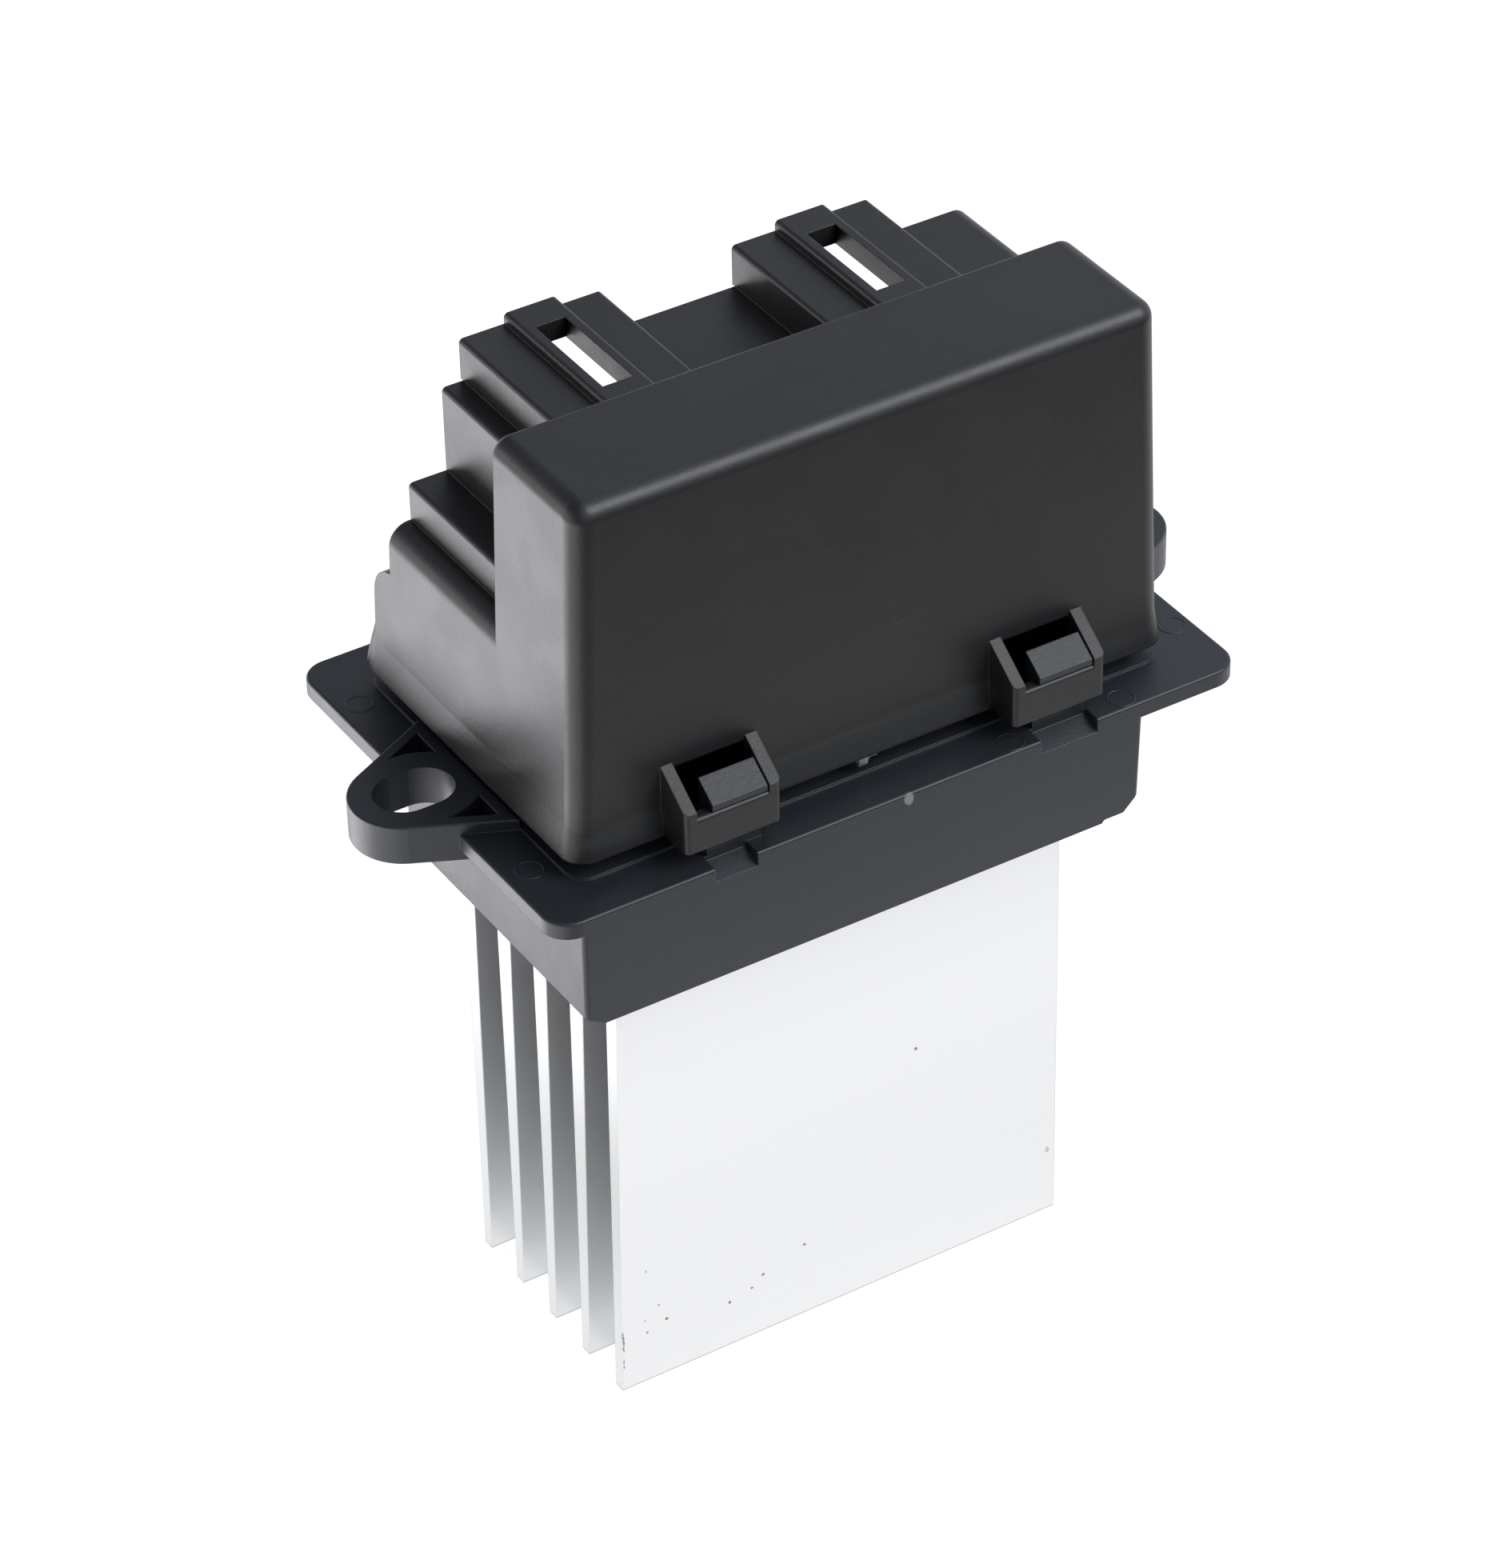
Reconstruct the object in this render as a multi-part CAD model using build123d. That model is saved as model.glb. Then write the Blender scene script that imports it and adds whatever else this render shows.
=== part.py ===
"""Blower motor resistor: a moulded base frame with two slotted ears carries a finned
aluminium heat sink below and, under a snapped-on cover with two connector sockets, a
circuit board with two power transistors clipped to an upright web of the heat sink.

Millimetres. +X runs along the row of ears, +Y points to the back, where the sockets
open, and +Z points up. The origin lies at the level of the fin tips, below the middle
of the flange.
"""
from build123d import *
import math
import os

# Flange of the base frame
flange_length = 83.0
flange_depth = 53.5
flange_thickness = 1.9
flange_corner = 3.1
flange_edge = 0.3

# Skirt below the flange, round the heat sink
skirt_height = 13.7
skirt_inset = 3.0
skirt_room = 8.3
skirt_wall = 2.0
skirt_corner = 0.5
skirt_rib = 1.4
skirt_cut_left = (2.2, 1.25)
skirt_cut_right = (1.9, 1.8)
skirt_step = 0.35
skirt_step_length = 4.6
skirt_flare = 0.35

# Ears, one at each end of the flange
ear_spacing = 84.8
ear_radius = 5.9
ear_rise = 1.3
ear_drop = 1.3
ear_root = 20.6
ear_rim = 1.3
slot_width = 6.5
slot_length = 8.7
ear_edge = 0.2

# Heat sink, extruded along X; the fins grow thicker and draw apart towards their root
fin_count = 5
fin_reach = 52.0
tip_pitch = 6.88
tip_thickness = 1.36
root_pitch = 7.48
root_swell = 0.76
sink_length = 55.0
sink_inset_x = 3.77
sink_inset_y = 2.4
sink_plate = 4.0
sink_fit = 0.3
sink_lean = 1.2
web_thickness = 2.5
web_height = 34.0
web_setback = 8.1
web_trim = 3.0

# Cover, outer form
cover_inset_front = 5.4
cover_inset_left = 5.5
cover_inset_right = 6.4
cover_inset_back = 5.5
cover_lift = 2.3
cover_wall = 1.8
side_draft = 2.0
slab_height = 43.9
slab_depth = 16.0
slab_edge = 2.2
slab_top_edge = 2.0
slab_back_edge = 0.9
band_height = 4.0
band_proud = 0.45
lower_height = 12.3
lower_shoulder = 3.9
lower_round = 3.8
lower_lean = 2.3

# Cover, socket shroud behind the slab
shroud_reach = 20.9
roof_height = 36.2
roof_wall = 1.15
block_start = 24.0
block_spacing = 32.25
block_height = 40.85
block_width = 16.7
block_proud = 0.45
rib_width = 6.15
rib_height = 1.2
latch_width = 3.5
latch_length = 13.2
latch_from_mouth = 3.5
ledge_low_height = 21.9
ledge_low_width = 2.6
ledge_low_round = 2.4
ledge_high_height = 26.3
ledge_high_width = 4.4
socket_floor = 17.6
divider_wall = 1.8
key_height = 2.2
key_width = 1.6
shroud_corner = 1.8
step_round = 0.5

# Snap loops of the cover, and the catches of the base frame inside them
loop_places = (21.2, 60.45)
loop_width = 11.3
loop_arm = 1.4
loop_front = 0.8
loop_bar = 1.4
loop_bar_top = 6.3
loop_arm_front = 7.1
loop_arm_back = 10.5
catch_width = 6.45
catch_height = 9.0
catch_nose = 7.1
catch_post = 1.3
catch_gap = 0.15
loop_round = 0.6
loop_bar_round = 0.45
notch_widths = (5.0, 7.0)
notch_lead = 0.4
notch_front_depth = 1.6
notch_inner_depth = 0.5

# Rim of the base frame inside the cover
plinth_height = 0.3
rim_height = 5.5
rim_wall = 1.4
rim_gap = 0.15

# Circuit board, standing on the flange in two grooved posts
board_thickness = 1.6
board_length = 62.0
board_height = 33.0
board_setback = 16.2
board_gap = 0.1
guide_height = 14.0
guide_width = 3.0
guide_wall = 1.4
hole_gap = 0.1

# Power transistors on the web, each with a pad behind it and a clip in front
transistor_spacing = 26.0
transistor_level = 17.0
transistor_width = 10.2
transistor_thickness = 4.5
body_height = 9.2
tab_height = 15.6
tab_thickness = 1.3
tab_hole = 3.6
lead_pitch = 2.54
lead_size = 0.8
lead_depth = 2.6
lead_drop = 4.0
lead_stub = 0.8
pad_thickness = 0.25
pad_margin = 1.0
clip_width = 6.0
clip_thickness = 0.5
clip_front_leg = 8.0

# Blade terminals, pressed through the cover, whose tails plug into the contact strips
blade_reach = 11.6
blade_width = 6.3
signal_width = 2.8
blade_thickness = 0.8
blade_tip = 0.9
blade_level = 27.0
motor_blade_spacing = 9.6
supply_blade_spacing = 17.0
tail_width = 2.8
tail_foot = 4.0
blade_fit = 0.05

# Contact strips on the back of the board
strip_level = 2.0
strip_height = 9.0
strip_thickness = 3.6
strip_margin = 2.0
strip_edge = 0.4

# Small parts on the board, with their middle levels above the flange
can_diameter = 10.0
can_length = 12.5
can_level = 8.0
can_edge = 0.5
chip_length = 5.0
chip_height = 4.0
chip_thickness = 1.6
chip_level = 22.0
shunt_span = 9.0
shunt_thickness = 0.8
shunt_width = 2.0
shunt_level = 14.5
shunt_stand = 2.4
fuse_width = 4.2
fuse_height = 5.0
fuse_thickness = 2.8
fuse_level = 29.0
fuse_pitch = 2.5
ceramic_size = (3.2, 1.6, 0.9)
ceramic_level = 20.0
resistor_size = (2.0, 1.25, 0.5)
resistor_level = 26.0
chip_part_spacing = 4.0

# Screws that hold the heat sink up against the flange
screw_diameter = 3.0
screw_clearance = 3.4
screw_length = 5.4
screw_head = 4.8
screw_head_height = 1.9
screw_end_margin = 8.0
screw_rows = (13.4, 26.0)
drive_width = 2.0
drive_depth = 1.1

# Levels and faces worked out from the sizes above
flange_top = fin_reach + skirt_height
flange_bottom = flange_top - flange_thickness
left = -flange_length / 2
right = flange_length / 2
front = -flange_depth / 2
back = flange_depth / 2
skirt_left = left + skirt_inset
sink_left = skirt_left + sink_inset_x
sink_right = sink_left + sink_length
sink_middle = (sink_left + sink_right) / 2
sink_front = front + sink_inset_y
sink_back = sink_front + (fin_count - 1) * root_pitch + tip_thickness
skirt_right = sink_right + skirt_room
skirt_back = sink_back + sink_inset_y
skirt_foot = flange_top - skirt_height
web_front = front + web_setback
web_back = web_front + web_thickness
web_top = flange_top + web_height
web_left = sink_left + web_trim
web_right = sink_right - web_trim
cover_left = left + cover_inset_left
cover_right = right - cover_inset_right
cover_middle = (cover_left + cover_right) / 2
cover_front = front + cover_inset_front
cover_back = back - cover_inset_back
cover_bottom = flange_top + cover_lift
band_top = cover_bottom + band_height
slab_top = flange_top + slab_height
slab_back = cover_front + slab_depth
shroud_back = slab_back + shroud_reach
partition = slab_back - cover_wall
floor_top = flange_top + socket_floor
floor_bottom = floor_top - cover_wall
block_middles = (left + block_start, left + block_start + block_spacing)
loop_middles = tuple(left + place for place in loop_places)
bar_back = front + loop_front + loop_bar
bar_top = flange_top + loop_bar_top
board_front = front + board_setback
board_back = board_front + board_thickness
board_left = cover_middle - board_length / 2
board_right = cover_middle + board_length / 2
tail_front = partition - blade_thickness
transistor_back = web_back + pad_thickness
transistor_front = transistor_back + transistor_thickness
lead_y = transistor_back + lead_depth
lead_z = flange_top + transistor_level - lead_drop
draft = math.tan(math.radians(side_draft))


def block(x0, x1, y0, y1, z0, z1):
    """A box between two opposite corners."""
    middle = Pos((x0 + x1) / 2, (y0 + y1) / 2, (z0 + z1) / 2)
    return middle * Box(x1 - x0, y1 - y0, z1 - z0)


def rounded_block(x0, x1, y0, y1, z0, z1, radius):
    """A box with its upright edges rounded."""
    plan = RectangleRounded(x1 - x0, y1 - y0, radius)
    return Pos((x0 + x1) / 2, (y0 + y1) / 2, z0) * extrude(plan, z1 - z0)


def outline(*points):
    """A flat face with straight sides through the points."""
    return make_face(Polyline(*points, close=True))


def along_y(section, y0, y1):
    """Extrude a section drawn as (x, z) from one depth to another."""
    return extrude(Plane.XZ.offset(-y0) * section, -(y1 - y0))


def along_x(section, x0, x1):
    """Extrude a section drawn as (y, z) from one station to another."""
    return extrude(Plane.YZ.offset(x0) * section, x1 - x0)


def tall_edges(solid, least):
    """Edges that rise by more than the given height."""
    return [edge for edge in solid.edges() if edge.bounding_box().size.Z > least]


# Cover

def side_walls(z, inset=0.0):
    """Where the drafted left and right walls of the cover stand at a level."""
    shift = draft * (z - cover_bottom) + inset
    return cover_left + shift, cover_right - shift


def back_wall(z, inset=0.0):
    """Where the leaning back wall of the cover's lower part stands at a level."""
    lean = lower_lean / (flange_top + lower_height - band_top)
    return cover_back - lean * max(z - band_top, 0.0) - inset


def cross_section(z0, z1, inset=0.0):
    """The cover's section between two levels, as (x, z), with its drafted sides."""
    low_left, low_right = side_walls(z0, inset)
    high_left, high_right = side_walls(z1, inset)
    return outline((low_left, z0), (low_right, z0), (high_right, z1), (high_left, z1))


def slab():
    """The tall front slab with its rounded edges."""
    body = along_y(cross_section(cover_bottom, slab_top), cover_front, slab_back)
    front_face = body.faces().sort_by(Axis.Y)[0]
    body = fillet(tall_edges(front_face, slab_height / 2), slab_edge)
    rim_edges = body.faces().sort_by(Axis.Z)[-1].edges().sort_by(Axis.Y)
    body = fillet(rim_edges[:-1], slab_top_edge)
    rear_edge = body.faces().sort_by(Axis.Z)[-1].edges().sort_by(Axis.Y)[-1]
    return fillet(rear_edge, slab_back_edge)


def lower_body(start, inset=0.0):
    """The low part under and behind the slab, with a rounded shoulder at the back."""
    level = flange_top + lower_height
    top = level + lower_shoulder - inset
    wall = back_wall(level, inset)
    foot_back = back_wall(cover_bottom, inset)
    side = outline(
        (start, cover_bottom),
        (foot_back, cover_bottom),
        (foot_back, band_top),
        (wall, level),
        (wall, top),
        (start, top),
    )
    shoulder = side.vertices().sort_by_distance((wall, top))[0]
    side = fillet(shoulder, lower_round - inset)
    body = along_y(cross_section(cover_bottom, top, inset), start, foot_back)
    body &= along_x(side, left, right)
    rear_edges = [edge for edge in tall_edges(body, 1.2 * band_height) if edge.center().Y > start + slab_edge]
    return fillet(rear_edges, slab_edge - inset / 2)


def shroud_section(floor, inset=0.0):
    """The stepped section of the shroud above a level, as (x, z)."""
    roof = flange_top + roof_height - inset
    low = flange_top + ledge_low_height - inset
    high = flange_top + ledge_high_height - inset
    low_step = side_walls(low)[0] + ledge_low_width + inset
    high_step = low_step + ledge_high_width
    floor_left = side_walls(floor, inset)[0]
    low_left = side_walls(low, inset)[0]
    shroud_right = cover_right - inset
    steps = outline(
        (floor_left, floor),
        (shroud_right, floor),
        (shroud_right, roof),
        (high_step, roof),
        (high_step, high),
        (low_step, high),
        (low_step, low),
        (low_left, low),
    )
    rounds = [
        ((low_left, low), ledge_low_round - inset),
        ((low_step, high), step_round),
        ((high_step, roof), step_round),
        ((shroud_right, roof), max(shroud_corner - inset, step_round)),
    ]
    for corner, radius in rounds:
        steps = fillet(steps.vertices().sort_by_distance(corner)[0], radius)
    top = flange_top + block_height - (roof_wall if inset else 0.0)
    for middle in block_middles:
        steps += topped(middle, block_width - 2 * inset, floor, top)
    return steps


def topped(middle, width, foot, top):
    """An upright bar of a section, with its two upper corners rounded."""
    half = width / 2
    bar = outline((middle - half, foot), (middle + half, foot), (middle + half, top), (middle - half, top))
    return fillet(bar.vertices().group_by(Axis.Y)[-1], step_round)


def foot_band():
    """The slightly thicker foot of the cover, which fades out upwards."""
    low_left, low_right = side_walls(cover_bottom)
    length = low_right - low_left + 2 * band_proud
    depth = cover_back - cover_front + 2 * band_proud
    plan = RectangleRounded(length, depth, slab_edge + band_proud)
    fade = math.degrees(math.atan(band_proud / band_height)) + side_draft
    place = Pos(cover_middle, (cover_front + cover_back) / 2, cover_bottom)
    return place * extrude(plan, band_height, taper=fade)


def snap_loop(middle):
    """A loop in front of the cover: two arms with sloped tops and a bar across them."""
    tip = front + loop_front
    root = cover_front + cover_wall / 2
    slope = (loop_arm_back - loop_arm_front) / (cover_front - tip)
    side = outline(
        (tip, cover_bottom),
        (root, cover_bottom),
        (root, flange_top + loop_arm_front + slope * (root - tip)),
        (tip, flange_top + loop_arm_front),
    )
    outer = loop_width / 2
    inner = outer - loop_arm
    loop = along_x(side, middle - outer, middle + outer)
    loop = fillet(loop.edges().filter_by(Axis.Z).group_by(Axis.Y)[0], loop_round)
    opening = outline(
        (tip, bar_top),
        (bar_back, bar_top),
        (bar_back, cover_bottom),
        (cover_front, cover_bottom),
        (cover_front, slab_top),
        (tip, slab_top),
    )
    corner = Pos(tip + loop_bar_round / 2, bar_top - loop_bar_round / 2) * Rectangle(loop_bar_round, loop_bar_round)
    corner -= Pos(tip + loop_bar_round, bar_top - loop_bar_round) * Circle(loop_bar_round)
    return loop - along_x(opening + corner, middle - inner, middle + inner)


def blade_places():
    """Middle and width of each blade, the motor's pair first."""
    motor, supply = block_middles
    return (
        (motor - motor_blade_spacing / 2, blade_width),
        (motor + motor_blade_spacing / 2, blade_width),
        (supply - supply_blade_spacing / 2, blade_width),
        (supply, signal_width),
        (supply + supply_blade_spacing / 2, blade_width),
    )


def cover_room():
    """The room under the cover for the board, the web and what they carry."""
    wall = cover_wall
    ceiling = slab_top - wall
    room = along_y(cross_section(flange_top, ceiling, wall), cover_front + wall, partition)
    lower = lower_body(cover_front + wall, wall)
    foot = along_y(cross_section(flange_top, cover_bottom, wall), cover_front + wall, cover_back - wall)
    room += (lower + foot) & block(left, right, front, back, flange_top, floor_bottom)
    return room


def sockets():
    """The two sockets, open to the back, with the divider and keys left standing."""
    cavity = along_y(shroud_section(floor_top, cover_wall), slab_back, shroud_back + 2 * block_proud)
    between = sum(block_middles) / 2
    cavity -= block(between - divider_wall / 2, between + divider_wall / 2,
                    slab_back, shroud_back, floor_top, slab_top)
    for middle in block_middles:
        for side in (-1, 1):
            key = middle + side * block_width / 2
            cavity -= block(key - key_width / 2, key + key_width / 2,
                            slab_back, shroud_back, floor_top, floor_top + key_height)
    return cavity


def cover():
    """The moulded cover."""
    shell = slab() + lower_body(cover_front + slab_edge + cover_wall)
    shell += along_y(shroud_section(flange_top + lower_height), partition, shroud_back)
    roof = flange_top + roof_height
    block_top = flange_top + block_height
    for middle in block_middles:
        raised = topped(middle, block_width, roof, block_top)
        raised += topped(middle, rib_width, block_top - roof_wall, block_top + rib_height)
        shell += along_y(raised, partition, shroud_back + block_proud)
    shell += foot_band()
    shell -= cover_room()
    shell -= sockets()
    latch_back = shroud_back - latch_from_mouth
    for middle in block_middles:
        shell -= block(middle - latch_width / 2, middle + latch_width / 2,
                       latch_back - latch_length, latch_back, flange_top + roof_height, slab_top)
    level = flange_top + blade_level
    for middle, width in blade_places():
        half = width / 2 + blade_fit
        thick = blade_thickness / 2 + blade_fit
        shell -= block(middle - half, middle + half, partition, slab_back, level - thick, level + thick)
    for middle in loop_middles:
        shell += snap_loop(middle)
    return shell


# Base frame

def skirt():
    """The collar below the flange, with a second wall close to the heat sink."""
    left_run, left_rise = skirt_cut_left
    right_run, right_rise = skirt_cut_right
    step_top = skirt_foot + skirt_step
    step_start = skirt_right - skirt_step_length
    side = outline(
        (skirt_left, flange_bottom),
        (skirt_left, skirt_foot + left_rise),
        (skirt_left + left_run, skirt_foot),
        (step_start, skirt_foot),
        (step_start + skirt_step, step_top),
        (skirt_right - right_run, step_top),
        (skirt_right, step_top + right_rise),
        (skirt_right + skirt_flare, flange_bottom),
    )
    body = along_y(side, front, skirt_back)
    body = fillet(tall_edges(body, skirt_height / 2), skirt_corner)
    hole_left = sink_left + sink_lean * skirt_foot / flange_bottom - sink_fit
    body -= block(hole_left, sink_right + sink_fit, sink_front - sink_fit,
                  sink_back + sink_fit, skirt_foot, flange_bottom)
    pocket_left = sink_right + sink_fit + skirt_rib
    pocket_front = front + skirt_wall
    pocket_back = skirt_back - skirt_wall
    pocket = block(pocket_left, skirt_right - skirt_wall, pocket_front, pocket_back, skirt_foot, flange_bottom)
    for share in (1 / 3, 2 / 3):
        rib = pocket_front + share * (pocket_back - pocket_front)
        pocket -= block(pocket_left, skirt_right, rib - skirt_rib / 2, rib + skirt_rib / 2,
                        skirt_foot, flange_bottom)
    return body - pocket


def ear_plan(side, inset=0.0):
    """Teardrop plan of an ear, from its round end to its root at the cover."""
    centre = side * (ear_spacing + slot_length - slot_width) / 2
    root = cover_left if side < 0 else cover_right
    radius = ear_radius - inset
    half = ear_root / 2 - inset
    reach = math.hypot(root - centre, half)
    turn = math.acos(radius / reach) + math.atan2(half, abs(root - centre))
    touch_x = centre - side * radius * math.cos(turn)
    touch_y = radius * math.sin(turn)
    wedge = outline((root, half), (touch_x, touch_y), (touch_x, -touch_y), (root, -half))
    return wedge + Pos(centre, 0) * Circle(radius)


def ear(side):
    """One ear, a little thicker than the flange on both faces."""
    foot = flange_bottom - ear_drop
    body = Pos(0, 0, foot) * extrude(ear_plan(side), flange_top + ear_rise - foot)
    return fillet(body.faces().sort_by(Axis.Z)[-1].edges(), ear_edge)


def ear_hollows(side):
    """The two deep hollows between the ring round the slot and the ear's root."""
    root = cover_left if side < 0 else cover_right
    ring_growth = 2 * ear_radius - slot_width
    plan = ear_plan(side, ear_rim)
    plan -= Pos(side * ear_spacing / 2, 0) * SlotOverall(slot_length + ring_growth, 2 * ear_radius)
    plan -= Pos(root, 0) * Rectangle(2 * ear_rim, ear_root)
    return Pos(0, 0, flange_bottom) * extrude(plan, flange_thickness + ear_rise)


def catch(middle):
    """A hooked post that stands inside a snap loop."""
    tip = front + loop_front + catch_gap
    post_front = bar_back + catch_gap
    post_back = post_front + catch_post
    root = flange_top - flange_thickness / 2
    under = bar_top + catch_gap
    side = outline(
        (post_front, root),
        (post_back, root),
        (post_back, flange_top + catch_height),
        (tip, flange_top + catch_nose),
        (tip, under),
        (post_front, under),
    )
    end = middle + loop_width / 2 - loop_arm - catch_gap
    return along_x(side, end - catch_width, end)


def notch(middle, width):
    """The sloped notch in the flange's edge below a catch."""
    inner = bar_back + catch_gap
    side = outline(
        (front, flange_top - notch_front_depth),
        (inner, flange_top - notch_inner_depth),
        (inner, flange_top),
        (front, flange_top),
    )
    start = middle + loop_width / 2 - loop_arm - catch_gap - catch_width - notch_lead
    return along_x(side, start, start + width)


def rim():
    """The plinth below the cover's foot and the wall that the cover fits over."""
    top = flange_top + rim_height
    foot_left, foot_right = side_walls(cover_bottom)
    plinth = rounded_block(foot_left, foot_right, cover_front, cover_back,
                           flange_top, flange_top + plinth_height, slab_edge)
    inset = cover_wall + rim_gap
    wall_left, wall_right = side_walls(top, inset)
    wall = rounded_block(wall_left, wall_right, cover_front + inset, back_wall(top, inset),
                         flange_top, top, slab_edge / 2)
    inset += rim_wall
    room_left, room_right = side_walls(top, inset)
    room = block(room_left, room_right, cover_front + inset, back_wall(top, inset), flange_top, top)
    return plinth + wall - room


def board_guides():
    """The two grooved posts that hold the board's ends."""
    posts = Part()
    for end, side in ((board_left, -1), (board_right, 1)):
        outer = end + side * guide_wall
        inner = outer - side * guide_width
        posts += block(min(outer, inner), max(outer, inner), board_front - guide_wall,
                       board_back + guide_wall, flange_top, flange_top + guide_height)
    return posts


def screw_places():
    """Where the heat sink's screws stand, as (x, y)."""
    ends = (sink_left + screw_end_margin, sink_right - screw_end_margin)
    return [(x, front + row) for x in ends for row in screw_rows]


def base_frame():
    """The moulded frame: flange, skirt, ears, rim, catches and board guides."""
    frame = rounded_block(left, right, front, back, flange_bottom, flange_top, flange_corner)
    frame = fillet(frame.faces().sort_by(Axis.Z)[-1].edges(), flange_edge)
    frame += skirt()
    for side in (-1, 1):
        frame += ear(side)
        frame -= ear_hollows(side)
    frame += rim()
    frame += board_guides()
    for middle, width in zip(loop_middles, notch_widths):
        frame -= notch(middle, width)
        frame += catch(middle)
    frame -= block(board_left - board_gap, board_right + board_gap, board_front - board_gap,
                   board_back + board_gap, flange_top, slab_top)
    frame -= block(web_left - sink_fit, web_right + sink_fit, web_front - sink_fit,
                   web_back + sink_fit, flange_bottom, flange_top + rim_height)
    for x, y in screw_places():
        frame -= Pos(x, y, flange_bottom + flange_thickness / 2) * Cylinder(
            screw_clearance / 2, flange_thickness)
    foot = flange_bottom - ear_drop
    for side in (-1, 1):
        slot = extrude(SlotOverall(slot_length, slot_width), flange_top + ear_rise - foot)
        frame -= Pos(side * ear_spacing / 2, 0, foot) * slot
    return frame


# Heat sink and its screws

def fin(number, root):
    """The tapered section of a fin, as (y, z); the outer faces of the end fins swell less."""
    half = tip_thickness / 2
    tip_middle = sink_front + half + number * tip_pitch
    root_middle = sink_front + half + number * root_pitch
    front_half = half + (root_swell if number > 0 else 0.0)
    back_half = half + (root_swell if number < fin_count - 1 else 0.0)
    return outline(
        (tip_middle - half, 0.0),
        (tip_middle + half, 0.0),
        (root_middle + back_half, root),
        (root_middle - front_half, root),
    )


def heat_sink():
    """The extrusion: base plate, fins below it and one web above, its left end cut a little askew."""
    plate_bottom = flange_bottom - sink_plate
    section = outline((sink_front, plate_bottom), (sink_back, plate_bottom),
                      (sink_back, flange_bottom), (sink_front, flange_bottom))
    for number in range(fin_count):
        section += fin(number, plate_bottom)
    sink = along_x(section, sink_left, sink_right)
    wedge = outline((sink_left, 0.0), (sink_left + sink_lean, flange_bottom), (sink_left, flange_bottom))
    sink -= along_y(wedge, sink_front, sink_back)
    sink += block(web_left, web_right, web_front, web_back, plate_bottom, web_top)
    depth = screw_length - flange_thickness
    for x, y in screw_places():
        sink -= Pos(x, y, flange_bottom - depth / 2) * Cylinder(screw_diameter / 2, depth)
    return sink


def screw(x, y):
    """A pan-head screw with a square drive."""
    body = Pos(0, 0, -screw_length / 2) * Cylinder(screw_diameter / 2, screw_length)
    head = Pos(0, 0, screw_head_height / 2) * Cylinder(screw_head / 2, screw_head_height)
    head = chamfer(head.faces().sort_by(Axis.Z)[-1].edges(), screw_head_height / 3)
    drive = Pos(0, 0, screw_head_height - drive_depth / 2) * Box(drive_width, drive_width, drive_depth)
    return Pos(x, y, flange_top) * (body + head - drive)


def heat_sink_screws():
    """All screws of the heat sink, as one group of separate solids."""
    return Compound([solid for x, y in screw_places() for solid in screw(x, y).solids()])


# Board and what stands on it

def transistor_middles():
    """The two transistors' places along the web."""
    return sink_middle - transistor_spacing / 2, sink_middle + transistor_spacing / 2


def lead_places(middle):
    """Where the three leads of a transistor pass through the board."""
    return [middle + number * lead_pitch for number in (-1, 0, 1)]


def shunt_places():
    """Where the two legs of the shunt pass into the board."""
    return sink_middle - shunt_span / 2, sink_middle + shunt_span / 2


def fuse_places():
    """Where the two leads of the thermal fuse pass into the board."""
    return sink_middle - fuse_pitch / 2, sink_middle + fuse_pitch / 2


def circuit_board():
    """The board, drilled for the leads of what it carries."""
    top = flange_top + board_height
    board = block(board_left, board_right, board_front, board_back, flange_top, top)
    lead = (lead_size, lead_size)
    holes = [(x, lead_z, lead) for middle in transistor_middles() for x in lead_places(middle)]
    holes += [(x, flange_top + fuse_level, lead) for x in fuse_places()]
    holes += [(x, flange_top + shunt_level, (shunt_thickness, shunt_width)) for x in shunt_places()]
    for x, z, (width, height) in holes:
        across = width / 2 + hole_gap
        along = height / 2 + hole_gap
        board -= block(x - across, x + across, board_front, board_back, z - along, z + along)
    return board


def power_transistor(middle):
    """A flat-tabbed power transistor whose leads bend back into the board."""
    foot = flange_top + transistor_level
    half = transistor_width / 2
    body = block(middle - half, middle + half, transistor_back, transistor_front, foot, foot + body_height)
    body = chamfer(body.faces().sort_by(Axis.Y)[-1].edges(), 0.4)
    tab = block(middle - half, middle + half, transistor_back, transistor_back + tab_thickness,
                foot, foot + tab_height)
    hole_level = foot + (body_height + tab_height) / 2
    hole = Pos(middle, transistor_back, hole_level) * Rot(90, 0, 0) * Cylinder(tab_hole / 2, 4 * tab_thickness)
    part = body + (tab - hole)
    thick = lead_size / 2
    for x in lead_places(middle):
        part += block(x - thick, x + thick, lead_y - thick, lead_y + thick, lead_z - thick, foot)
        part += block(x - thick, x + thick, lead_y, board_back + lead_stub, lead_z - thick, lead_z + thick)
    return part


def insulating_pad(middle):
    """The thin pad between a transistor's tab and the web."""
    half = transistor_width / 2 + pad_margin
    foot = flange_top + transistor_level - pad_margin
    return block(middle - half, middle + half, web_back, transistor_back,
                 foot, foot + tab_height + 2 * pad_margin)


def transistor_clip(middle):
    """A spring strip hooked over the web that presses on a transistor."""
    thick = clip_thickness
    leg_foot = flange_top + transistor_level + body_height / 2
    side = outline(
        (web_front - thick, web_top - clip_front_leg),
        (web_front, web_top - clip_front_leg),
        (web_front, web_top),
        (transistor_front, web_top),
        (transistor_front, leg_foot),
        (transistor_front + thick, leg_foot),
        (transistor_front + thick, web_top + thick),
        (web_front - thick, web_top + thick),
    )
    return along_x(side, middle - clip_width / 2, middle + clip_width / 2)


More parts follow.
